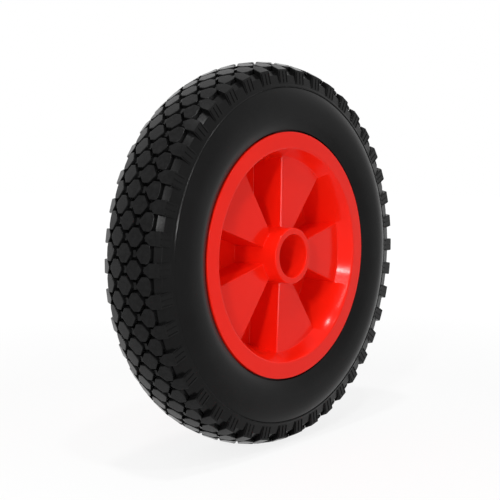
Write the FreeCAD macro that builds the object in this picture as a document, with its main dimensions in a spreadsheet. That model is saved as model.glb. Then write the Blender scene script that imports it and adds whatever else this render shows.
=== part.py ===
import FreeCAD, Part
import os
import Sketcher
from FreeCAD import Placement, Rotation, Vector

# Plastic wheel: one moulded rim with a castellated web and a hub, and one moulded block-tread tyre.
# Millimetres. The origin is the wheel's centre, +Z is up and the wheel spins about Y.
# Front is -Y. Angles run from +X towards +Z, anticlockwise for someone who faces the front.

doc = FreeCAD.newDocument("plastic_wheel")
sheet = doc.addObject("Spreadsheet::Sheet", "sizes")

SIZES = {
    # Rim: seat, flanges and the face between flange and dish
    "seat_radius": 101.5,
    "rim_width": 66,
    "flange_height": 12.5,
    "flange_thickness": 4.5,
    "face_inset": 1.5,
    # Rim: hub
    "hub_proud": 2,
    "bore_radius": 20,
    "hub_wall": 6,
    # Rim: castellated web
    "sector_count": 5,
    "panel_angle": 37.8,
    "panel_phase": -2.3,
    "panel_depth": 13.5,
    "web_wall": 5,
    "barrel_wall": 10,
    "barrel_draft": 4.5,
    "cut_margin": 3,
    # Tyre: bead and sidewall
    "flange_gap": 0.9,
    "flange_cover": 1,
    "section_height": 76.5,
    "section_bulge": 5,
    "bulge_share": 0.45,
    # Tyre: tread floor, as distances below the crown and in from the widest point
    "pitch_count": 42,
    "crown_arc": 70,
    "floor_depth": 10.5,
    "floor_inset": 9.5,
    "step_depth": 21,
    "step_inset": 4.8,
    "tread_ring": 12,
    # Tyre: blocks
    "row_spacing": 10.4,
    "block_width": 14.2,
    "block_length": 15.2,
    "block_flat": 5.2,
    # Tyre: shoulder lugs
    "lug_width": 12.4,
    "lug_depth": 8,
    "lug_inset": 6.1,
    "lug_tilt": 25.7,
    "lug_setback": 0.2,
    "nose_inset": 13.5,
    "nose_tip_inset": 18,
    "rooting": 1.5,
}

# Sizes that follow from the ones above.
DERIVED = {
    "rim_half": "<rim_width> / 2",
    "flange_radius": "<seat_radius> + <flange_height>",
    "face_radius": "<seat_radius> - <face_inset>",
    "web_radius": "<seat_radius> - <barrel_wall>",
    "web_half": "<rim_half> - <panel_depth>",
    "hub_half": "<rim_half> + <hub_proud>",
    "hub_radius": "<bore_radius> + <hub_wall>",
    "bead_half": "<rim_half> - <flange_thickness>",
    "bead_edge": "<flange_radius> + <flange_gap>",
    "cover_half": "<rim_half> + <flange_cover>",
    "tyre_half": "<rim_half> + <section_bulge>",
    "tyre_radius": "<seat_radius> + <section_height>",
    "floor_radius": "<tyre_radius> - <floor_depth>",
    "floor_half": "<tyre_half> - <floor_inset>",
    "step_radius": "<tyre_radius> - <step_depth>",
    "step_half": "<tyre_half> - <step_inset>",
    "bulge_radius": "<bead_edge> + (<step_radius> - <bead_edge>) * <bulge_share>",
    "lug_radius": "<tyre_radius> - <lug_depth>",
    "lug_half": "<tyre_half> - <lug_inset>",
    "nose_half": "<tyre_half> - <nose_inset>",
    "nose_tip": "<tyre_half> - <nose_tip_inset>",
}


def named(expression):
    """An expression with each name in angle brackets read from the sheet."""
    return expression.replace("<", "sizes.").replace(">", "")


for line, (name, value) in enumerate(SIZES.items(), start=1):
    sheet.set(f"A{line}", name)
    sheet.set(f"B{line}", str(value))
    sheet.setAlias(f"B{line}", name)
for line, (name, formula) in enumerate(DERIVED.items(), start=len(SIZES) + 1):
    sheet.set(f"A{line}", name)
    sheet.set(f"B{line}", f"={formula.replace('<', '').replace('>', '')}")
    sheet.setAlias(f"B{line}", name)
doc.recompute()


def bind(item, **properties):
    """Bind an object's properties to expressions; a double underscore stands for a dot."""
    for path, expression in properties.items():
        item.setExpression(path.replace("__", "."), named(expression))


def datum(body, role):
    """One of a body's own origin planes or axes, as a link."""
    return (next(item for item in body.Origin.OriginFeatures if item.Role == role), [""])


def evaluate(item, expression):
    """The number that an expression stands for now."""
    return float(item.evalExpression(named(expression)))


def outline(body, name, role, corners, arcs=None, **offset):
    """A closed sketch on an origin plane with every corner held by a pair of expressions.

    arcs maps the number of a side to its radius and to the side on which its middle lies
    (1 to the left of the way along the outline, -1 to the right).
    offset binds the sketch's place on its plane.
    """
    sketch = body.newObject("Sketcher::SketchObject", name)
    sketch.AttachmentSupport = datum(body, role)
    sketch.MapMode = "FlatFace"
    bind(sketch, **{f"AttachmentOffset__{path}": value for path, value in offset.items()})
    points = [Vector(*(evaluate(sketch, part) for part in corner), 0) for corner in corners]
    starts = []
    for side, start in enumerate(points):
        end = points[(side + 1) % len(points)]
        if arcs and side in arcs:
            radius, hand = arcs[side]
            chord = end - start
            reach = evaluate(sketch, radius)
            rise = reach - (reach**2 - chord.Length**2 / 4) ** 0.5
            left = Vector(-chord.y, chord.x, 0).normalize()
            edge = Part.Arc(start, start + chord / 2 + left * rise * hand, end)
        else:
            edge = Part.LineSegment(start, end)
        sketch.addGeometry(edge, False)
        starts.append(1 if sketch.getPoint(side, 1).isEqual(start, 1e-6) else 2)
    for side, corner in enumerate(corners):
        after = (side + 1) % len(points)
        sketch.addConstraint(Sketcher.Constraint("Coincident", side, 3 - starts[side], after, starts[after]))
        for kind, part in zip(("DistanceX", "DistanceY"), corner):
            value = evaluate(sketch, part)
            held = sketch.addConstraint(Sketcher.Constraint(kind, -1, 1, side, starts[side], value))
            sketch.setExpression(f"Constraints[{held}]", named(part))
        if arcs and side in arcs:
            radius = arcs[side][0]
            held = sketch.addConstraint(Sketcher.Constraint("Radius", side, evaluate(sketch, radius)))
            sketch.setExpression(f"Constraints[{held}]", named(radius))
    return sketch


def turned(body, kind, name, profile, angle="360"):
    """A Revolution or Groove of a profile about the body's Y axis, half to each side of it."""
    feature = body.newObject(f"PartDesign::{kind}", name)
    feature.Profile = profile
    feature.ReferenceAxis = datum(body, "Y_Axis")
    feature.Midplane = True
    bind(feature, Angle=angle)
    return feature


def around(body, name, originals, count):
    """A pattern of features, repeated evenly about the body's Y axis."""
    pattern = body.newObject("PartDesign::PolarPattern", name)
    pattern.Originals = originals
    pattern.Axis = datum(body, "Y_Axis")
    pattern.Angle = 360
    bind(pattern, Occurrences=count)
    body.Tip = pattern
    return pattern


def mirrored(corners):
    """Corners of one side of a section, followed by the same corners on the other side."""
    return corners + [(f"-({across})", radius) for across, radius in reversed(corners)]


# Rim: the section from the bore to the flanges, the same on both sides of the middle plane.
rim = doc.addObject("PartDesign::Body", "rim")
rim_section = mirrored([
    ("<hub_half>", "<bore_radius>"),
    ("<hub_half>", "<hub_radius>"),
    ("<web_half>", "<hub_radius>"),
    ("<web_half>", "<web_radius>"),
    ("<rim_half>", "<face_radius>"),
    ("<rim_half>", "<flange_radius>"),
    ("<bead_half>", "<flange_radius>"),
    ("<bead_half>", "<seat_radius>"),
])
turned(rim, "Revolution", "rim_disc", outline(rim, "rim_profile", "YZ_Plane", rim_section))

# Front pockets: sectors between the raised panels, open to the front, with a drafted barrel.
POCKET_FLOOR = "(<web_half> - <web_wall>)"
front_profile = outline(
    rim,
    "front_pocket_profile",
    "YZ_Plane",
    [
        ("-<web_half> - <cut_margin>", "<hub_radius>"),
        (POCKET_FLOOR, "<hub_radius>"),
        (POCKET_FLOOR, "<web_radius> - <barrel_draft>"),
        ("-<web_half>", "<web_radius>"),
        ("-<web_half> - <cut_margin>", "<web_radius>"),
    ],
    Rotation__Roll="90 - <panel_phase> - 180 / <sector_count>",
)
front_pocket = turned(rim, "Groove", "front_pocket", front_profile, "360 / <sector_count> - <panel_angle>")


# Rear pockets: the hollows behind the panels, a wall's thickness inside their sides.
def side_angle(radius):
    """Half the angle that a rear pocket spans at a radius."""
    return f"(<panel_angle> / 2 - asin(<web_wall> / ({radius})) / 1 deg) * 1 deg"


def sector_corner(radius, hand):
    """A corner of a rear pocket at a radius, to one side of the sketch's own X axis."""
    angle = side_angle(radius)
    return (f"({radius}) * cos({angle})", f"{hand} * ({radius}) * sin({angle})")


rear_outline = outline(
    rim,
    "rear_pocket_outline",
    "XZ_Plane",
    [
        sector_corner("<hub_radius>", -1),
        sector_corner("<web_radius>", -1),
        sector_corner("<web_radius>", 1),
        sector_corner("<hub_radius>", 1),
    ],
    {1: ("<web_radius>", -1), 3: ("<hub_radius>", 1)},
    Base__z="-<web_half> - <cut_margin>",
    Rotation__Yaw="<panel_phase>",
)
rear_pocket = rim.newObject("PartDesign::Pocket", "rear_pocket")
rear_pocket.Profile = rear_outline
rear_pocket.Reversed = True
bind(rear_pocket, Length="2 * <web_half> - <web_wall> + <cut_margin>")
around(rim, "castellated_web", [front_pocket, rear_pocket], "<sector_count>")


# Tyre: a tread ring with one flat facet to a pitch, the facet's middle at the top of the wheel.
def crown(half):
    """Radius of the tread's surface at a distance from the middle plane."""
    return f"(<tyre_radius> - <crown_arc> + sqrt(<crown_arc>^2 - ({half})^2))"


HALF_PITCH = "(180 / <pitch_count>)"
FLOOR_SECTION = [
    ("<step_half>", "<step_radius>"),
    ("<floor_half>", "<floor_radius>"),
]
hoops = []
for number, (across, radius) in enumerate(mirrored(FLOOR_SECTION)):
    hoop = doc.addObject("Part::RegularPolygon", f"floor_hoop_{number}")
    hoop.Placement = Placement(Vector(), Rotation(Vector(1, 0, 0), -90))
    bind(
        hoop,
        Polygon="<pitch_count>",
        Circumradius=f"{radius} / cos({HALF_PITCH} * 1 deg)",
        Placement__Base__y=across,
    )
    hoops.append(hoop)
tread_floor = doc.addObject("Part::Loft", "tread_floor")
tread_floor.Sections = hoops
tread_floor.Solid = True
tread_floor.Ruled = True
doc.recompute()

tyre = doc.addObject("PartDesign::Body", "tyre")
tyre.BaseFeature = tread_floor
hollow = outline(
    tyre,
    "ring_hollow_profile",
    "YZ_Plane",
    [
        ("-<tyre_half>", "0"),
        ("<tyre_half>", "0"),
        ("<tyre_half>", "<step_radius> - <tread_ring>"),
        ("-<tyre_half>", "<step_radius> - <tread_ring>"),
    ],
)
turned(tyre, "Groove", "ring_hollow", hollow)


# Carcass: the bead between the flanges and the round sidewalls up to the shoulder's step.
carcass_profile = outline(
    tyre,
    "carcass_profile",
    "YZ_Plane",
    mirrored([
        ("<bead_half>", "<seat_radius>"),
        ("<bead_half>", "<bead_edge>"),
        ("<cover_half>", "<bead_edge>"),
        ("<tyre_half>", "<bulge_radius>"),
        ("<step_half>", "<step_radius>"),
    ]),
)
turned(tyre, "Revolution", "carcass", carcass_profile)


# Tread blocks: long hexagons with flat tops that lie along the crown, one row after the other.
def block_row(name, across, turn):
    """One block of a row, at a distance from the middle plane and turned from the top."""
    radius = crown(across)
    top = outline(
        tyre,
        f"{name}_top",
        "XY_Plane",
        [
            ("-<block_width> / 2", "-<block_flat> / 2"),
            ("0", "-<block_length> / 2"),
            ("<block_width> / 2", "-<block_flat> / 2"),
            ("<block_width> / 2", "<block_flat> / 2"),
            ("0", "<block_length> / 2"),
            ("-<block_width> / 2", "<block_flat> / 2"),
        ],
        Base__x=f"{radius} * sin({turn} * 1 deg)",
        Base__y=across,
        Base__z=f"{radius} * cos({turn} * 1 deg)",
        Rotation__Pitch=turn,
        Rotation__Roll=f"-asin(({across}) / <crown_arc>)",
    )
    block = tyre.newObject("PartDesign::Pad", f"{name}_block")
    block.Profile = top
    block.Reversed = True
    bind(block, Length="<tyre_radius> - <floor_radius> + <rooting>")
    return block


pieces = [
    block_row(f"row_{number + 1}", f"{number - 2} * <row_spacing>", HALF_PITCH if number % 2 else "0")
    for number in range(5)
]

# Shoulder lugs: between the blocks of the outer rows, a flat land with a pointed inner end.
# Each goes down along its own outer face, from the land's outer corner to the shoulder's step.
ALONG = "/ cos(<lug_tilt> * 1 deg)"
FACE_FALL = "(<lug_radius> - <step_radius>)"
FACE_SPREAD = "(<step_half> - <lug_setback> - <lug_half>)"
for side, name in ((-1, "front"), (1, "rear")):
    land = outline(
        tyre,
        f"{name}_land",
        "XY_Plane",
        [
            ("-<lug_width> / 2", "0"),
            ("<lug_width> / 2", "0"),
            ("<lug_width> / 2", f"{-side} * (<lug_half> - <nose_half>) {ALONG}"),
            ("0", f"{-side} * (<lug_half> - <nose_tip>) {ALONG}"),
            ("-<lug_width> / 2", f"{-side} * (<lug_half> - <nose_half>) {ALONG}"),
        ],
        Base__x=f"<lug_radius> * sin({HALF_PITCH} * 1 deg)",
        Base__y=f"{side} * <lug_half>",
        Base__z=f"<lug_radius> * cos({HALF_PITCH} * 1 deg)",
        Rotation__Pitch=HALF_PITCH,
        Rotation__Roll=f"-{side} * <lug_tilt>",
    )
    lug = tyre.newObject("PartDesign::Pad", f"{name}_lug")
    lug.Profile = land
    lug.UseCustomVector = True
    lug.AlongSketchNormal = False
    bind(
        lug,
        Direction__x=f"-{FACE_FALL} * sin({HALF_PITCH} * 1 deg)",
        Direction__y=f"{side} * {FACE_SPREAD}",
        Direction__z=f"-{FACE_FALL} * cos({HALF_PITCH} * 1 deg)",
        Length=f"{FACE_FALL} + <rooting>",
    )
    pieces.append(lug)
around(tyre, "tread", pieces, "<pitch_count>")

doc.recompute()
for item in doc.Objects:
    if "Invalid" in item.State or "Error" in item.State:
        raise RuntimeError(f"{item.Label} did not compute: {item.State}")
os.makedirs("parts", exist_ok=True)
for body in (rim, tyre):
    if body.Shape.isNull() or not body.Shape.isValid() or len(body.Shape.Solids) != 1:
        raise RuntimeError(f"{body.Label} is not one valid solid")
    body.Shape.exportStep(f"parts/{body.Label}.step")
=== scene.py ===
"""Plastic wheel: a glossy red rim with a castellated web, in a black block-tread tyre."""

import logging
import math
from collections.abc import Callable, Iterator
from contextlib import contextmanager
from dataclasses import dataclass, field
from enum import Enum

import bmesh
import bpy
from mathutils import Matrix, Vector

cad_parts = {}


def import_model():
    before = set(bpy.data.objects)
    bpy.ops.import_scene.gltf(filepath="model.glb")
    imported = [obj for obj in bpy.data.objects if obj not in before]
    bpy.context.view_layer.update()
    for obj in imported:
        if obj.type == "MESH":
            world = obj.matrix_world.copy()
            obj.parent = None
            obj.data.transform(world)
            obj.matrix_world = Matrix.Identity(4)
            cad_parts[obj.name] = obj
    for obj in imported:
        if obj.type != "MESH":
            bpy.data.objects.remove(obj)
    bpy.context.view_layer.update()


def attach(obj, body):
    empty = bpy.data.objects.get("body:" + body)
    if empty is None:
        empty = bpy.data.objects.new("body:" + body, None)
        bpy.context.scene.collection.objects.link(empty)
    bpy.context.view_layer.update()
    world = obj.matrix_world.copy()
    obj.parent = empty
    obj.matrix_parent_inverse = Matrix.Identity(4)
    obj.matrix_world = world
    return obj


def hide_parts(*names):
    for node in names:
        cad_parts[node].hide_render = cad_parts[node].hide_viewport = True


LOG = logging.getLogger("plastic_wheel")
MM = 0.001
NEAR = 0.01  # millimetres within which a point counts as lying on a face or radius
SAME_PLACE = 0.02 * MM  # vertices closer than this are one
Station = tuple[float, float]
Colour = tuple[float, float, float]


class Body(Enum):
    """The moving bodies of the frame that pieces ride on."""

    ROOT = "root"


class Slot(Enum):
    """The record's material slots."""

    RIM = "rim_plastic"
    TYRE = "tyre_rubber"


class Side(Enum):
    """The two faces of the wheel, as the sign of Y."""

    FRONT = -1
    REAR = 1


def deselect_all() -> None:
    """Leave object mode with nothing selected."""
    if bpy.context.object and bpy.context.object.mode != "OBJECT":
        bpy.ops.object.mode_set(mode="OBJECT")
    bpy.ops.object.select_all(action="DESELECT")


def only(piece: bpy.types.Object) -> None:
    """Select one object alone and make it the active one."""
    deselect_all()
    piece.select_set(True)
    bpy.context.view_layer.objects.active = piece


@contextmanager
def editing(piece: bpy.types.Object) -> Iterator[None]:
    """Edit mode on one object, for the length of a with block.

    Args:
        piece: the mesh object to edit.

    Yields:
        None, while the object is in edit mode.
    """
    only(piece)
    bpy.ops.object.mode_set(mode="EDIT")
    try:
        yield
    finally:
        bpy.ops.object.mode_set(mode="OBJECT")


def pick_faces(piece: bpy.types.Object, test: Callable[[Vector], bool]) -> None:
    """Select the faces of the object in edit mode that pass a test, and no others.

    Args:
        piece: the object, in edit mode.
        test: takes the middle of a face.
    """
    bpy.ops.mesh.select_mode(type="FACE")
    bpy.ops.mesh.select_all(action="DESELECT")
    mesh = bmesh.from_edit_mesh(piece.data)
    for face in mesh.faces:
        face.select_set(test(face.calc_center_median()))
    mesh.select_flush_mode()
    bmesh.update_edit_mesh(piece.data)


def weld(piece: bpy.types.Object) -> None:
    """Merge doubled vertices, then point every face outwards."""
    with editing(piece):
        bpy.ops.mesh.select_all(action="SELECT")
        bpy.ops.mesh.remove_doubles(threshold=SAME_PLACE)
        bpy.ops.mesh.normals_make_consistent(inside=False)


def settle(piece: bpy.types.Object) -> None:
    """Put an object's place, turn and scale into its mesh."""
    only(piece)
    bpy.ops.object.transform_apply(location=True, rotation=True, scale=True)


def smooth(piece: bpy.types.Object, degrees: float) -> None:
    """Shade smooth, but keep edges sharper than an angle."""
    only(piece)
    bpy.ops.object.shade_smooth_by_angle(angle=math.radians(degrees))


def apply_modifier(piece: bpy.types.Object, modifier: bpy.types.Modifier) -> None:
    """Apply one modifier of an object."""
    only(piece)
    bpy.ops.object.modifier_apply(modifier=modifier.name)


def flatten_shading(piece: bpy.types.Object) -> None:
    """Shade large faces flat and leave the turn to the narrow faces of the rounded edges."""
    weigh = piece.modifiers.new("flatten", "WEIGHTED_NORMAL")
    weigh.keep_sharp = True
    apply_modifier(piece, weigh)


def join(name: str, pieces: list[bpy.types.Object]) -> bpy.types.Object:
    """Make one object of several.

    Args:
        name: the joined object's name.
        pieces: the objects, the first of which takes in the others.

    Returns:
        The joined object.
    """
    only(pieces[0])
    for piece in pieces[1:]:
        piece.select_set(True)
    bpy.ops.object.join()
    pieces[0].name = name
    return pieces[0]


def prism(
    name: str, polygon: list[Vector], depth: Vector, flare: tuple[float, float, float] = (1, 1, 1)
) -> bpy.types.Object:
    """A closed solid with a flat polygon at its start, begun as a filled circle.

    Args:
        name: the new object's name.
        polygon: its corners in order, in metres.
        depth: how far and where the polygon is extruded, in metres.
        flare: the scale of the far end against the polygon.

    Returns:
        The new object.
    """
    deselect_all()
    bpy.ops.mesh.primitive_circle_add(vertices=len(polygon), radius=0.01, fill_type="NGON")
    piece = bpy.context.object
    piece.name = name
    for vertex, corner in zip(piece.data.vertices, polygon):
        vertex.co = corner
    with editing(piece):
        bpy.ops.mesh.select_all(action="SELECT")
        bpy.ops.mesh.extrude_region_move(TRANSFORM_OT_translate={"value": tuple(depth)})
        if flare != (1, 1, 1):
            bpy.ops.transform.resize(value=flare)
        bpy.ops.mesh.select_all(action="SELECT")
        bpy.ops.mesh.normals_make_consistent(inside=False)
    return piece


def turn_section(
    name: str, stations: list[Station], steps: int, phase: float = 0.0
) -> bpy.types.Object:
    """Turn a closed section about the wheel's axle.

    A ring of edges starts at the first station. It is extruded and resized from one station
    to the next, and welded to its start at the end.

    Args:
        name: the new object's name.
        stations: (y, radius) pairs in millimetres, once round the section.
        steps: the number of vertices in a ring.
        phase: the angle of the first vertex from +X towards +Z, in degrees.

    Returns:
        The new closed mesh object.
    """
    first_y, first_radius = stations[0]
    deselect_all()
    place = (0, first_y * MM, 0)
    bpy.ops.mesh.primitive_circle_add(vertices=steps, radius=first_radius * MM, location=place)
    piece = bpy.context.object
    piece.name = name
    piece.rotation_euler = (math.radians(90), 0, 0)
    settle(piece)
    start = math.degrees(math.atan2(piece.data.vertices[0].co.z, piece.data.vertices[0].co.x))
    piece.rotation_euler = (0, math.radians(start - phase), 0)
    settle(piece)
    with editing(piece):
        bpy.ops.mesh.select_all(action="SELECT")
        last_y, last_radius = first_y, first_radius
        for across, radius in stations[1:] + stations[:1]:
            along = (0, (across - last_y) * MM, 0)
            bpy.ops.mesh.extrude_edges_move(TRANSFORM_OT_translate={"value": along})
            grow = radius / last_radius
            bpy.ops.transform.resize(value=(grow, 1, grow), center_override=(0, across * MM, 0))
            last_y, last_radius = across, radius
    weld(piece)
    return piece


def arc(centre: Station, radius: float, start: float, end: float, steps: int) -> list[Station]:
    """Stations along an arc of the section.

    Args:
        centre: (y, radius) of the arc's centre, in millimetres.
        radius: the arc's own radius.
        start: first angle from +Y towards the outside, in degrees.
        end: last angle.
        steps: the number of divisions.

    Returns:
        The stations, both ends included.
    """
    angles = [math.radians(start + (end - start) * step / steps) for step in range(steps + 1)]
    return [(centre[0] + radius * math.cos(a), centre[1] + radius * math.sin(a)) for a in angles]


def mirrored(stations: list[Station]) -> list[Station]:
    """Stations of the rear half of a section, followed by those of the front half."""
    return stations + [(-across, radius) for across, radius in reversed(stations)]


def angle_of(place: Vector) -> float:
    """Angle of a point about the axle, from +X towards +Z, in degrees."""
    return math.degrees(math.atan2(place.z, place.x))


def radius_of(place: Vector) -> float:
    """Distance of a point from the axle, in millimetres."""
    return math.hypot(place.x, place.z) / MM


def between(angle: float, middle: float, half: float) -> bool:
    """Whether an angle lies within a half-width of another, in degrees."""
    return abs((angle - middle + 180) % 360 - 180) < half


def round_edges(
    piece: bpy.types.Object,
    width: float,
    segments: int,
    weight: Callable[[bmesh.types.BMEdge], float],
) -> None:
    """Round chosen edges of a piece with one bevel.

    Args:
        piece: the mesh object.
        width: the bevel's width at weight 1, in millimetres.
        segments: the number of faces round each edge.
        weight: gives an edge its share of the width, 0 to leave it sharp.
    """
    mesh = bmesh.new()
    mesh.from_mesh(piece.data)
    layers = mesh.edges.layers.float
    layer = layers.get("bevel_weight_edge") or layers.new("bevel_weight_edge")
    mesh.normal_update()
    for edge in mesh.edges:
        edge[layer] = weight(edge)
    mesh.to_mesh(piece.data)
    mesh.free()
    bevel = piece.modifiers.new("round", "BEVEL")
    bevel.limit_method = "WEIGHT"
    bevel.width = width * MM
    bevel.segments = segments
    bevel.use_clamp_overlap = True
    apply_modifier(piece, bevel)


def new_material(name: str) -> tuple[bpy.types.Material, bpy.types.Node]:
    """A new node material.

    Args:
        name: the material's name.

    Returns:
        The material and its Principled shader.
    """
    material = bpy.data.materials.new(name)
    material.use_nodes = True
    return material, material.node_tree.nodes["Principled BSDF"]


@dataclass(frozen=True)
class Noise:
    """The values of one noise texture."""

    scale: float
    detail: float
    roughness: float = 0.5

    def fill(self, inputs: bpy.types.NodeInputs, kind: str = "") -> None:
        """Give the values to a node.

        Args:
            inputs: the sockets of the node.
            kind: what stands before the values' names on them.
        """
        inputs[f"{kind}Scale"].default_value = self.scale
        inputs[f"{kind}Detail"].default_value = self.detail
        inputs[f"{kind}Roughness"].default_value = self.roughness


def add_noise(tree: bpy.types.NodeTree, values: Noise) -> bpy.types.Node:
    """A noise texture on the object's own coordinates.

    Args:
        tree: the node tree.
        values: the noise's values.

    Returns:
        The noise node.
    """
    place = tree.nodes.new("ShaderNodeTexCoord")
    noise = tree.nodes.new("ShaderNodeTexNoise")
    values.fill(noise.inputs)
    tree.links.new(place.outputs["Object"], noise.inputs["Vector"])
    return noise


def add_ramp(
    tree: bpy.types.NodeTree, source: bpy.types.NodeSocket, stops: list[tuple[float, Colour]]
) -> bpy.types.Node:
    """A colour ramp on a value.

    Args:
        tree: the node tree.
        source: the socket that feeds the ramp.
        stops: (position, linear colour) pairs.

    Returns:
        The ramp node.
    """
    ramp = tree.nodes.new("ShaderNodeValToRGB")
    while len(ramp.color_ramp.elements) < len(stops):
        ramp.color_ramp.elements.new(0.5)
    for element, (position, colour) in zip(ramp.color_ramp.elements, stops):
        element.position = position
        element.color = (*colour, 1)
    tree.links.new(source, ramp.inputs["Fac"])
    return ramp


def add_range(
    tree: bpy.types.NodeTree, source: bpy.types.NodeSocket, low: float, high: float
) -> bpy.types.Node:
    """A value between 0 and 1 spread over another range.

    Args:
        tree: the node tree.
        source: the socket that gives the value.
        low: the result at 0.
        high: the result at 1.

    Returns:
        The map-range node.
    """
    spread = tree.nodes.new("ShaderNodeMapRange")
    spread.inputs["To Min"].default_value = low
    spread.inputs["To Max"].default_value = high
    tree.links.new(source, spread.inputs["Value"])
    return spread


def grain_group() -> bpy.types.NodeTree:
    """The surface that both mouldings share: patches of lesser gloss, and a fine relief.

    Returns:
        The node group, which is made once and takes its values from each material.
    """
    group = bpy.data.node_groups.get("moulded_surface")
    if group:
        return group
    group = bpy.data.node_groups.new("moulded_surface", "ShaderNodeTree")
    group.interface.new_socket("Place", in_out="INPUT", socket_type="NodeSocketVector")
    kinds, values = ("Patch", "Relief"), ("Scale", "Detail", "Roughness")
    names = [f"{kind} {value}" for kind in kinds for value in values]
    for name in [*names, "Gloss", "Dull"]:
        group.interface.new_socket(name, in_out="INPUT", socket_type="NodeSocketFloat")
    for name in ("Roughness", "Height"):
        group.interface.new_socket(name, in_out="OUTPUT", socket_type="NodeSocketFloat")
    inputs = group.nodes.new("NodeGroupInput").outputs
    outputs = group.nodes.new("NodeGroupOutput").inputs
    noises = {}
    for kind in kinds:
        noises[kind] = group.nodes.new("ShaderNodeTexNoise")
        group.links.new(inputs["Place"], noises[kind].inputs["Vector"])
        for value in values:
            group.links.new(inputs[f"{kind} {value}"], noises[kind].inputs[value])
    spread = group.nodes.new("ShaderNodeMapRange")
    group.links.new(noises["Patch"].outputs["Fac"], spread.inputs["Value"])
    group.links.new(inputs["Gloss"], spread.inputs["To Min"])
    group.links.new(inputs["Dull"], spread.inputs["To Max"])
    group.links.new(spread.outputs["Result"], outputs["Roughness"])
    group.links.new(noises["Relief"].outputs["Fac"], outputs["Height"])
    return group


@dataclass(frozen=True)
class Grain:
    """The values that one material gives to the shared surface of the mouldings."""

    gloss: float
    dull: float
    patches: Noise
    relief: Noise
    strength: float
    depth: float = 0.2 * MM

    def dress(self, tree: bpy.types.NodeTree, shader: bpy.types.Node) -> None:
        """Place the node group in a material, as its shader's roughness and bump.

        Args:
            tree: the material's node tree.
            shader: the Principled shader.
        """
        place = tree.nodes.new("ShaderNodeTexCoord")
        grain = tree.nodes.new("ShaderNodeGroup")
        grain.node_tree = grain_group()
        tree.links.new(place.outputs["Object"], grain.inputs["Place"])
        grain.inputs["Gloss"].default_value = self.gloss
        grain.inputs["Dull"].default_value = self.dull
        self.patches.fill(grain.inputs, "Patch ")
        self.relief.fill(grain.inputs, "Relief ")
        tree.links.new(grain.outputs["Roughness"], shader.inputs["Roughness"])
        bump = tree.nodes.new("ShaderNodeBump")
        bump.inputs["Strength"].default_value = self.strength
        bump.inputs["Distance"].default_value = self.depth
        tree.links.new(grain.outputs["Height"], bump.inputs["Height"])
        tree.links.new(bump.outputs["Normal"], shader.inputs["Normal"])


@dataclass(frozen=True)
class GlossyPlastic:
    """Moulded red plastic: even colour, glossy with a slight orange peel, duller in places."""

    name: str = "red_moulded_plastic"
    light: Colour = (0.95, 0.0150, 0.0050)
    deep: Colour = (0.93, 0.0125, 0.0040)
    specular: float = 0.13
    index: float = 1.49
    cloud: Noise = Noise(scale=14.0, detail=4.0)
    grain: Grain = Grain(
        gloss=0.12,
        dull=0.20,
        patches=Noise(scale=38.0, detail=6.0, roughness=0.6),
        relief=Noise(scale=420.0, detail=2.0),
        strength=0.12,
    )

    def build(self) -> bpy.types.Material:
        """Make the material."""
        material, shader = new_material(self.name)
        tree = material.node_tree
        cloud = add_noise(tree, self.cloud)
        colour = add_ramp(tree, cloud.outputs["Fac"], [(0.35, self.deep), (0.65, self.light)])
        tree.links.new(colour.outputs["Color"], shader.inputs["Base Color"])
        self.grain.dress(tree, shader)
        shader.inputs["Specular IOR Level"].default_value = self.specular
        shader.inputs["IOR"].default_value = self.index
        return material


@dataclass(frozen=True)
class FoamRubber:
    """Black moulded rubber: a satin skin with a fine grain, a little greyer on the tread."""

    name: str = "black_tyre_rubber"
    dark: Colour = (0.0034, 0.0034, 0.0034)
    dusty: Colour = (0.0064, 0.0064, 0.0065)
    tread_dark: Colour = (0.0045, 0.0045, 0.0046)
    tread_grey: Colour = (0.0100, 0.0100, 0.0102)
    tread_start: float = 0.166
    tread_full: float = 0.174
    specular: float = 0.10
    cloud: Noise = Noise(scale=22.0, detail=6.0, roughness=0.6)
    speckle: Noise = Noise(scale=260.0, detail=5.0, roughness=0.7)
    grain: Grain = Grain(
        gloss=0.16,
        dull=0.23,
        patches=Noise(scale=90.0, detail=4.0),
        relief=Noise(scale=1400.0, detail=3.0, roughness=0.7),
        strength=0.25,
    )

    def build(self) -> bpy.types.Material:
        """Make the material."""
        material, shader = new_material(self.name)
        tree = material.node_tree
        cloud = add_noise(tree, self.cloud)
        wall = add_ramp(tree, cloud.outputs["Fac"], [(0.3, self.dark), (0.7, self.dusty)])
        speckle = add_noise(tree, self.speckle)
        greys = [(0.38, self.tread_dark), (0.66, self.tread_grey)]
        tread = add_ramp(tree, speckle.outputs["Fac"], greys)
        share = add_range(tree, self.radius(tree), 0.0, 1.0)
        share.inputs["From Min"].default_value = self.tread_start
        share.inputs["From Max"].default_value = self.tread_full
        blend = tree.nodes.new("ShaderNodeMix")
        blend.data_type = "RGBA"
        tree.links.new(share.outputs["Result"], blend.inputs["Factor"])
        tree.links.new(wall.outputs["Color"], blend.inputs["A"])
        tree.links.new(tread.outputs["Color"], blend.inputs["B"])
        tree.links.new(blend.outputs["Result"], shader.inputs["Base Color"])
        self.grain.dress(tree, shader)
        shader.inputs["Specular IOR Level"].default_value = self.specular
        return material

    def radius(self, tree: bpy.types.NodeTree) -> bpy.types.NodeSocket:
        """Distance from the axle, in metres, as a value of the surface's place.

        Args:
            tree: the material's node tree.

        Returns:
            The socket that gives the distance.
        """
        place = tree.nodes.new("ShaderNodeTexCoord")
        level = tree.nodes.new("ShaderNodeVectorMath")
        level.operation = "MULTIPLY"
        level.inputs[1].default_value = (1, 0, 1)
        reach = tree.nodes.new("ShaderNodeVectorMath")
        reach.operation = "LENGTH"
        tree.links.new(place.outputs["Object"], level.inputs[0])
        tree.links.new(level.outputs["Vector"], reach.inputs[0])
        return reach.outputs["Value"]


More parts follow.
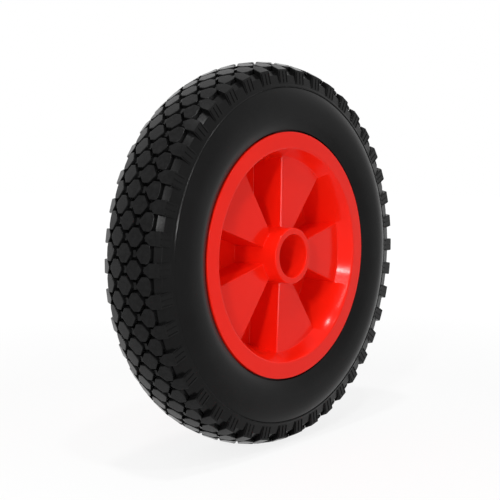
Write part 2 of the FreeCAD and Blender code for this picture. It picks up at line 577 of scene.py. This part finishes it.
@dataclass
class Rim:
    """The one-piece moulded rim: flanges, dish, castellated web and hub."""

    half_width: float = 33.0
    flange_radius: float = 114.0
    flange_thickness: float = 4.5
    flange_band: float = 5.0
    seat_radius: float = 101.5
    lip_radius: float = 98.0
    lip_round: float = 2.4
    edge_round: float = 0.8
    hub_half: float = 35.0
    hub_radius: float = 26.0
    hub_round: float = 1.2
    bore_radius: float = 20.0
    bore_round: float = 0.9
    web_half: float = 19.5
    web_wall: float = 5.0
    web_radius: float = 91.5
    barrel_foot: float = 87.0
    sectors: int = 5
    panel_steps: int = 21
    pocket_steps: int = 19
    panel_phase: float = -2.3
    rear_wall_steps: int = 2
    corner_angle: float = 18.0
    panel_chamfer: float = 0.8
    pocket_fillet: float = 2.6
    smooth_angle: float = 40.0
    steps: int = field(init=False)

    def __post_init__(self) -> None:
        """Work out the divisions of a turn from those of a sector."""
        self.steps = self.sectors * (self.panel_steps + self.pocket_steps)

    def section(self) -> list[Station]:
        """The rear half of the rim's section, mirrored to the whole."""
        face, edge, lip = self.half_width, self.edge_round, self.lip_round
        inner = face - self.flange_thickness
        bore, hub = self.bore_round, self.hub_round
        rear = [(self.hub_half - bore, self.bore_radius)]
        rear += arc((self.hub_half - bore, self.bore_radius + bore), bore, -90, 0, 3)[1:]
        rear += arc((self.hub_half - hub, self.hub_radius - hub), hub, 0, 90, 4)
        span = self.web_radius - self.hub_radius
        rear += [(self.web_half, self.hub_radius + span * part) for part in (0, 0.25, 0.5, 0.75, 1)]
        rear += arc((face - lip, self.lip_radius + lip), lip, -60, 0, 5)
        rear += [(face, self.flange_radius - self.flange_band)]
        rear += arc((face - edge, self.flange_radius - edge), edge, 0, 90, 3)
        rear += arc((inner + edge, self.flange_radius - edge), edge, 90, 180, 3)
        rear += [(inner, self.seat_radius)]
        return mirrored(rear)

    def sink(self, piece: bpy.types.Object, side: Side, middle: float, half: float) -> None:
        """Sink one pocket into the web from one side.

        Args:
            piece: the rim's mesh object.
            side: the side that the pocket opens to.
            middle: the angle of the pocket's middle, in degrees.
            half: half the angle that it spans.
        """
        plane = side.value * self.web_half
        depth = -side.value * (2 * self.web_half - self.web_wall)
        with editing(piece):
            pick_faces(
                piece,
                lambda place: abs(place.y / MM - plane) < NEAR
                and self.hub_radius < radius_of(place) < self.web_radius
                and between(angle_of(place), middle, half),
            )
            bpy.ops.mesh.extrude_region_move(TRANSFORM_OT_translate={"value": (0, depth * MM, 0)})
            mesh = bmesh.from_edit_mesh(piece.data)
            foot = self.barrel_foot / self.web_radius
            for vertex in mesh.verts:
                if vertex.select and radius_of(vertex.co) > self.web_radius - NEAR:
                    vertex.co.x *= foot
                    vertex.co.z *= foot
            bmesh.update_edit_mesh(piece.data)

    def in_web(self, edge: bmesh.types.BMEdge) -> bool:
        """Whether an edge is a corner of the web, rather than of the hub or the dish."""
        if len(edge.link_faces) != 2 or edge.calc_face_angle() < math.radians(self.corner_angle):
            return False
        ends = [vertex.co for vertex in edge.verts]
        level = all(abs(end.y) / MM < self.web_half + NEAR for end in ends)
        return level and all(radius_of(end) < self.web_radius + 0.1 for end in ends)

    def hollow_corner(self, edge: bmesh.types.BMEdge) -> float:
        """1 for a hollow corner of the web, which gets a soft fillet, and 0 elsewhere."""
        return 1.0 if self.in_web(edge) and not edge.is_convex else 0.0

    def outer_corner(self, edge: bmesh.types.BMEdge) -> float:
        """1 for a standing side of a panel, which gets a small flat chamfer, and 0 elsewhere."""
        if not self.in_web(edge) or not edge.is_convex:
            return 0.0
        return 0.0 if all(radius_of(v.co) > self.web_radius - 0.1 for v in edge.verts) else 1.0

    def build(self, finish: bpy.types.Material) -> bpy.types.Object:
        """Model the rim, dress it and put it in the node's place.

        Args:
            finish: the rim's material.

        Returns:
            The rim's object.
        """
        sector, step = 360 / self.sectors, 360 / self.steps
        panel_half = step * self.panel_steps / 2
        pocket_half = sector / 2 - panel_half
        start = self.panel_phase + panel_half
        piece = turn_section("rim_moulding", self.section(), self.steps, start)
        for number in range(self.sectors):
            middle = self.panel_phase + sector * number
            self.sink(piece, Side.FRONT, middle + sector / 2, pocket_half)
            self.sink(piece, Side.REAR, middle, panel_half - self.rear_wall_steps * step)
        weld(piece)
        round_edges(piece, self.panel_chamfer, 1, self.outer_corner)
        round_edges(piece, self.pocket_fillet, 4, self.hollow_corner)
        smooth(piece, self.smooth_angle)
        flatten_shading(piece)
        piece.data.materials.clear()
        piece.data.materials.append(finish)
        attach(piece, Body.ROOT.value)
        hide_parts("rim")
        return piece


@dataclass
class Tyre:
    """The one-piece tyre: bead, sidewalls, shoulder lugs and five rows of tread blocks."""

    crown_radius: float = 178.0
    crown_arc: float = 70.0
    pitches: int = 42
    pitch_steps: int = 6
    bead_half: float = 28.5
    seat_radius: float = 101.5
    flange_clear: float = 115.2
    bulge_half: float = 38.0
    bulge_radius: float = 138.0
    inner_arc: float = 60.0
    outer_arc: float = 32.0
    turn_radius: float = 128.0
    turn_arc: float = 30.0
    toe_round: float = 1.4
    wall_steps: int = 14
    ring_radius: float = 153.7
    ring_profile: tuple[Station, ...] = ((0.5, 0.4), (-0.35, 1.0), (-0.37, 1.4))
    step_half: float = 33.2
    step_radius: float = 157.0
    recess_half: float = 30.8
    recess_radius: float = 165.2
    floor_half: float = 24.9
    floor_radius: float = 169.1
    groove_depth: float = 6.0
    rows: int = 5
    row_spacing: float = 10.4
    block_width: float = 15.8
    block_length: float = 16.1
    block_flat: float = 5.8
    block_end: float = 5.1
    end_half: float = 3.4
    end_inset: float = 1.4
    end_rise: float = 1.3
    block_depth: float = 8.2
    block_flare: float = 1.12
    block_round: float = 1.0
    tip_half: float = 0.9
    nub_half: Station = (2.9, 1.4)
    nub_drop: float = 1.6
    nub_depth: float = 6.2
    nub_flare: float = 1.15
    lug_width: float = 12.4
    lug_half: float = 31.9
    lug_radius: float = 170.0
    lug_tilt: float = 25.7
    lug_setback: float = 0.2
    lug_sink: float = 1.1
    lug_round: float = 0.8
    nose_half: float = 24.5
    nose_tip: float = 20.0
    rib_places: tuple[float, ...] = (-4.6, 0.2, 4.8)
    rib_half: float = 0.55
    rib_foot: float = 0.9
    rib_top: float = 1.6
    rib_sunk: float = 0.8
    rib_thick: float = 1.35
    rib_flare: tuple[float, float, float] = (0.6, 1, 0.97)
    smooth_angle: float = 32.0

    def crown(self, across: float) -> float:
        """Radius of the tread's surface at a distance from the middle, in millimetres."""
        return self.crown_radius - self.crown_arc + math.sqrt(self.crown_arc**2 - across**2)

    def sidewall(self, radius: float) -> float:
        """Distance of the sidewall from the middle at a radius, in millimetres."""
        bend = self.outer_arc if radius > self.bulge_radius else self.inner_arc
        reach = max(radius, self.turn_radius) - self.bulge_radius
        side = self.bulge_half - bend + math.sqrt(bend**2 - reach**2)
        if radius < self.turn_radius:
            lean = -reach / bend * self.turn_arc
            side += math.sqrt(self.turn_arc**2 - (lean + self.turn_radius - radius) ** 2)
            side -= math.sqrt(self.turn_arc**2 - lean**2)
        return side

    def section(self) -> list[Station]:
        """The whole section of the carcass, once round."""
        foot, toe = self.flange_clear + self.toe_round, self.toe_round
        rear = [(self.bead_half, self.seat_radius), (self.bead_half, self.flange_clear)]
        rear += arc((self.sidewall(foot) - toe, foot), toe, -90, 0, 4)
        rise = (self.ring_radius - foot) / self.wall_steps
        heights = [foot + rise * step for step in range(1, self.wall_steps + 1)]
        rear += [(self.sidewall(radius), radius) for radius in heights]
        ring = self.sidewall(self.ring_radius)
        rear += [(ring + out, self.ring_radius + up) for out, up in self.ring_profile]
        # each step of the shoulder ends in a small chamfer
        rear += [(self.step_half + 0.02, self.step_radius - 0.7)]
        rear += [(self.step_half - 0.5, self.step_radius)]
        rear += [(self.recess_half + 0.25, self.recess_radius - 0.7)]
        rear += [(self.recess_half - 0.35, self.recess_radius)]
        rear += [(self.floor_half + 0.6, self.floor_radius), (self.floor_half, self.floor_radius)]
        rear += [(across, self.crown(across) - self.groove_depth) for across in (20.0, 15.0, 10.0, 5.0)]
        return mirrored(rear)

    def block(self, name: str, across: float, turn: float) -> bpy.types.Object:
        """One tread block: a long hexagon with rounded corners that widens a little to its foot.

        Args:
            name: the block's name.
            across: distance of its middle from the wheel's middle, in millimetres.
            turn: its angle from the top of the wheel, in degrees.

        Returns:
            The block as a closed mesh, sunk into the carcass.
        """
        wide, flat = self.block_width / 2, self.block_flat / 2
        pointed = [(x, self.block_length / 2) for x in (self.tip_half, -self.tip_half)]
        rounded = [(wide - self.end_inset, flat + self.end_rise), (self.end_half, self.block_end)]
        rounded += [(-x, y) for x, y in reversed(rounded)]
        outermost = (self.rows // 2) * self.row_spacing - 0.1
        front_end = rounded if across < -outermost else pointed
        rear_end = rounded if across > outermost else pointed
        outline = [(-wide, -flat), *[(-x, -y) for x, y in front_end], (wide, -flat)]
        outline += [(wide, flat), *rear_end, (-wide, flat)]
        top = [Vector((x, y, 0)) * MM for x, y in outline]
        down = Vector((0, 0, -self.block_depth)) * MM
        piece = prism(name, top, down, (self.block_flare, self.block_flare, 1))
        round_edges(piece, self.block_round, 2, self.block_edge)
        return self.seat(piece, across, turn)

    def block_edge(self, edge: bmesh.types.BMEdge) -> float:
        """The bevel of an edge of a block: 1 on its uprights, 0.8 round its top, 0 elsewhere."""
        first, last = (vertex.co for vertex in edge.verts)
        if abs((first - last).normalized().z) > 0.5:
            return 1.0
        return 0.8 if min(first.z, last.z) > -0.001 * MM else 0.0

    def seat(self, piece: bpy.types.Object, across: float, turn: float) -> bpy.types.Object:
        """Move a piece from the origin to its place on the crown.

        Args:
            piece: the object, modelled with its top at the origin and +Z up.
            across: distance of its place from the wheel's middle, in millimetres.
            turn: its angle from the top of the wheel, in degrees.

        Returns:
            The same object, with its place in its mesh.
        """
        tilt = math.asin(across / self.crown_arc)
        lift = Matrix.Translation((0, across * MM, self.crown(across) * MM))
        lean = Matrix.Rotation(-tilt, 4, "X")
        piece.matrix_world = Matrix.Rotation(math.radians(turn), 4, "Y") @ lift @ lean
        settle(piece)
        return piece

    def lug_height(self, across: float) -> float:
        """Radius of a lug's land at a distance from the wheel's middle, in millimetres."""
        return self.lug_radius + (self.lug_half - across) * math.tan(math.radians(self.lug_tilt))

    def lug_side(self, radius: float) -> float:
        """Distance of a lug's outer face from the wheel's middle at a radius, in millimetres."""
        foot = self.step_half - self.lug_setback
        spread = (foot - self.lug_half) / (self.lug_radius - self.step_radius)
        return self.lug_half + (self.lug_radius - radius) * spread

    def lug_edge(self, edge: bmesh.types.BMEdge) -> float:
        """The bevel of an edge of a lug: 0 round its foot and along its outer rim, 1 elsewhere."""
        first, last = (vertex.co for vertex in edge.verts)
        low = max(first.z, last.z) < (self.lug_radius + 3) * MM
        return 0.0 if low and abs(first.z - last.z) < 6 * MM else 1.0

    def lug(self, name: str, side: Side, turn: float) -> bpy.types.Object:
        """One shoulder lug: a pointed land that falls to the step of the sidewall, with three ribs.

        Args:
            name: the lug's name.
            side: the side of the wheel that it is on.
            turn: its angle from the top of the wheel, in degrees.

        Returns:
            The lug as a closed mesh, sunk into the carcass.
        """
        sign, half, tip = side.value, self.lug_width / 2, self.tip_half
        outline = [(-half, self.lug_half), (half, self.lug_half), (half, self.nose_half)]
        outline += [(tip, self.nose_tip), (-tip, self.nose_tip), (-half, self.nose_half)]
        land = [Vector((x, sign * across, self.lug_height(across))) * MM for x, across in outline]
        outwards = self.step_half - self.lug_setback - self.lug_half
        fall = Vector((0, sign * outwards, self.step_radius - self.lug_radius))
        piece = prism(name, land, fall * MM * self.lug_sink)
        round_edges(piece, self.lug_round, 2, self.lug_edge)
        ribs = [self.rib(f"{name}_rib_{n}", side, x) for n, x in enumerate(self.rib_places)]
        piece = join(name, [piece, *ribs])
        piece.rotation_euler = (0, math.radians(turn), 0)
        settle(piece)
        return piece

    def rib(self, name: str, side: Side, across: float) -> bpy.types.Object:
        """A thin upright rib on a lug's outer face.

        Args:
            name: the rib's name.
            side: the side of the wheel that it is on.
            across: its distance from the lug's middle, in millimetres.

        Returns:
            The rib as a closed mesh.
        """
        left, right = across - self.rib_half, across + self.rib_half
        low, high = self.step_radius + self.rib_foot, self.lug_radius - self.rib_top
        outline = [(left, low), (right, low), (right, high), (left, high)]
        inward = Vector((0, -side.value * self.rib_sunk, 0)) * MM
        face = [Vector((x, side.value * self.lug_side(z), z)) * MM + inward for x, z in outline]
        outward = Vector((0, side.value * self.rib_thick, 0)) * MM
        return prism(name, face, outward, self.rib_flare)

    def nub(self, name: str, across: float, turn: float) -> bpy.types.Object:
        """A low bar in the gap between two blocks of one row.

        Args:
            name: the bar's name.
            across: distance of its middle from the wheel's middle, in millimetres.
            turn: its angle from the top of the wheel, in degrees.

        Returns:
            The bar as a closed mesh, sunk into the carcass.
        """
        x, y = self.nub_half
        outline = [(-x, -y), (x, -y), (x, y), (-x, y)]
        top = [Vector((*corner, -self.nub_drop)) * MM for corner in outline]
        down = Vector((0, 0, -self.nub_depth)) * MM
        return self.seat(prism(name, top, down, (self.nub_flare, self.nub_flare, 1)), across, turn)

    def build(self, finish: bpy.types.Material) -> bpy.types.Object:
        """Model the tyre, dress it and put it in the node's place.

        Args:
            finish: the tyre's material.

        Returns:
            The tyre's object.
        """
        half_pitch = 180 / self.pitches
        carcass = turn_section("tyre_carcass", self.section(), self.pitches * self.pitch_steps)
        pieces = []
        for row in range(self.rows):
            across = (row - self.rows // 2) * self.row_spacing
            turn = half_pitch if row % 2 else 0.0
            pieces.append(self.block(f"block_{row}", across, turn))
            pieces.append(self.nub(f"nub_{row}", across, turn + half_pitch))
        pieces += [self.lug(f"lug_{side.name.lower()}", side, half_pitch) for side in Side]
        pitch = join("tyre_pitch", pieces)
        with editing(pitch):
            bpy.ops.mesh.select_all(action="SELECT")
            bpy.ops.mesh.spin(
                steps=self.pitches - 1,
                dupli=True,
                angle=math.radians(360 * (self.pitches - 1) / self.pitches),
                center=(0, 0, 0),
                axis=(0, 1, 0),
            )
        piece = join("tyre_moulding", [carcass, pitch])
        smooth(piece, self.smooth_angle)
        flatten_shading(piece)
        piece.data.materials.clear()
        piece.data.materials.append(finish)
        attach(piece, Body.ROOT.value)
        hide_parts("tyre")
        return piece


@dataclass(frozen=True)
class Lamp:
    """A rectangular lamp that faces the wheel's middle, in degrees, metres and watts."""

    name: str
    azimuth: float
    elevation: float
    width: float
    height: float
    power: float
    distance: float = 1.7

    def build(self) -> None:
        """Hang the lamp, its azimuth taken from the wheel's front towards +X."""
        azimuth, elevation = math.radians(self.azimuth), math.radians(self.elevation)
        level = math.cos(elevation)
        way = Vector((math.sin(azimuth) * level, -math.cos(azimuth) * level, math.sin(elevation)))
        data = bpy.data.lights.new(self.name, "AREA")
        data.shape = "RECTANGLE"
        data.size, data.size_y = self.width, self.height
        data.energy = self.power
        lamp = bpy.data.objects.new(self.name, data)
        bpy.context.scene.collection.objects.link(lamp)
        lamp.location = way * self.distance
        lamp.rotation_mode = "QUATERNION"
        lamp.rotation_quaternion = (-lamp.location).to_track_quat("-Z", "Y")


@dataclass
class Studio:
    """A pale floor, a white background, the lamps and the camera."""

    floor_height: float = -0.1782
    floor_size: float = 12.0
    floor_tone: Colour = (0.9, 0.9, 0.9)
    floor_roughness: float = 0.9
    floor_start: float = 0.35
    floor_full: float = 1.1
    floor_white: float = 1.04
    camera_back: tuple[float, float, float] = (-0.7661, -0.6361, 0.0920)
    camera_distance: float = 0.950
    camera_aim: tuple[float, float, float] = (0.0, -0.001, 0.0)
    lens: float = 72.5
    sensor: float = 36.0
    shift: tuple[float, float] = (-0.0301, 0.0077)
    ambient: float = 0.36
    floor_glow: float = 0.8
    lamps: tuple[Lamp, ...] = (
        Lamp("tall_strip", azimuth=-63, elevation=40, width=0.05, height=1.0, power=4.5),
        Lamp("flash", azimuth=-65, elevation=17, width=0.12, height=0.06, power=6.5),
        Lamp("high_flash", azimuth=-66, elevation=76, width=0.13, height=0.13, power=7),
        Lamp("edge_strip", azimuth=-39, elevation=-1, width=0.05, height=0.35, power=2),
        Lamp("overhead", azimuth=-30, elevation=63, width=0.12, height=0.12, power=4),
    )

    def world(self) -> None:
        """White to the camera and in reflections, softer as a light."""
        world = bpy.data.worlds.new("studio")
        bpy.context.scene.world = world
        world.use_nodes = True
        tree = world.node_tree
        background = tree.nodes["Background"]
        strength = add_range(tree, self.seen(tree), self.ambient, 1.0)
        tree.links.new(strength.outputs["Result"], background.inputs["Strength"])
        background.inputs["Color"].default_value = (1, 1, 1, 1)

    def seen(self, tree: bpy.types.NodeTree) -> bpy.types.NodeSocket:
        """1 for rays that show the background, as seen or in a reflection, and 0 for the rest.

        Args:
            tree: the node tree of the world or of the floor.

        Returns:
            The socket that gives the value.
        """
        path = tree.nodes.new("ShaderNodeLightPath")
        value = path.outputs["Is Camera Ray"]
        for kind in ("Is Glossy Ray", "Is Transmission Ray"):
            either = tree.nodes.new("ShaderNodeMath")
            either.operation = "MAXIMUM"
            tree.links.new(value, either.inputs[0])
            tree.links.new(path.outputs[kind], either.inputs[1])
            value = either.outputs[0]
        return value

    def floor(self) -> None:
        """A wide pale floor that keeps the wheel's shadow, and is white farther out."""
        deselect_all()
        bpy.ops.mesh.primitive_plane_add(size=self.floor_size, location=(0, 0, self.floor_height))
        floor = bpy.context.object
        floor.name = "studio_floor"
        material, shader = new_material("studio_floor")
        shader.inputs["Base Color"].default_value = (*self.floor_tone, 1)
        shader.inputs["Roughness"].default_value = self.floor_roughness
        tree = material.node_tree
        place = tree.nodes.new("ShaderNodeTexCoord")
        reach = tree.nodes.new("ShaderNodeVectorMath")
        reach.operation = "LENGTH"
        tree.links.new(place.outputs["Object"], reach.inputs[0])
        share = add_range(tree, reach.outputs["Value"], self.floor_glow, 1.0)
        share.inputs["From Min"].default_value = self.floor_start
        share.inputs["From Max"].default_value = self.floor_full
        amount = tree.nodes.new("ShaderNodeMath")
        amount.operation = "MULTIPLY"
        tree.links.new(self.seen(tree), amount.inputs[0])
        tree.links.new(share.outputs["Result"], amount.inputs[1])
        glow = tree.nodes.new("ShaderNodeEmission")
        glow.inputs["Strength"].default_value = self.floor_white
        mix = tree.nodes.new("ShaderNodeMixShader")
        tree.links.new(amount.outputs[0], mix.inputs[0])
        tree.links.new(shader.outputs[0], mix.inputs[1])
        tree.links.new(glow.outputs[0], mix.inputs[2])
        tree.links.new(mix.outputs[0], tree.nodes["Material Output"].inputs["Surface"])
        floor.data.materials.append(material)

    def camera(self) -> None:
        """The camera at the photograph's angle."""
        data = bpy.data.cameras.new("photo_view")
        data.lens = self.lens
        data.sensor_width = self.sensor
        data.shift_x, data.shift_y = self.shift
        camera = bpy.data.objects.new("photo_view", data)
        bpy.context.scene.collection.objects.link(camera)
        back = Vector(self.camera_back).normalized()
        camera.location = Vector(self.camera_aim) + back * self.camera_distance
        camera.rotation_mode = "QUATERNION"
        camera.rotation_quaternion = (-back).to_track_quat("-Z", "Y")
        bpy.context.scene.camera = camera

    def build(self) -> None:
        """Set up the whole studio."""
        self.world()
        self.floor()
        for lamp in self.lamps:
            lamp.build()
        self.camera()
        bpy.context.scene.view_settings.view_transform = "Standard"


def main() -> None:
    """Build the wheel and its studio, and log each piece's faces and finish."""
    logging.basicConfig(level=logging.INFO, format="%(message)s")
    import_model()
    Studio().build()
    for part, finish in ((Rim(), GlossyPlastic()), (Tyre(), FoamRubber())):
        piece = part.build(finish.build())
        LOG.info("%s: %d faces, %s", piece.name, len(piece.data.polygons), finish.name)


if __name__ == "__main__":
    main()
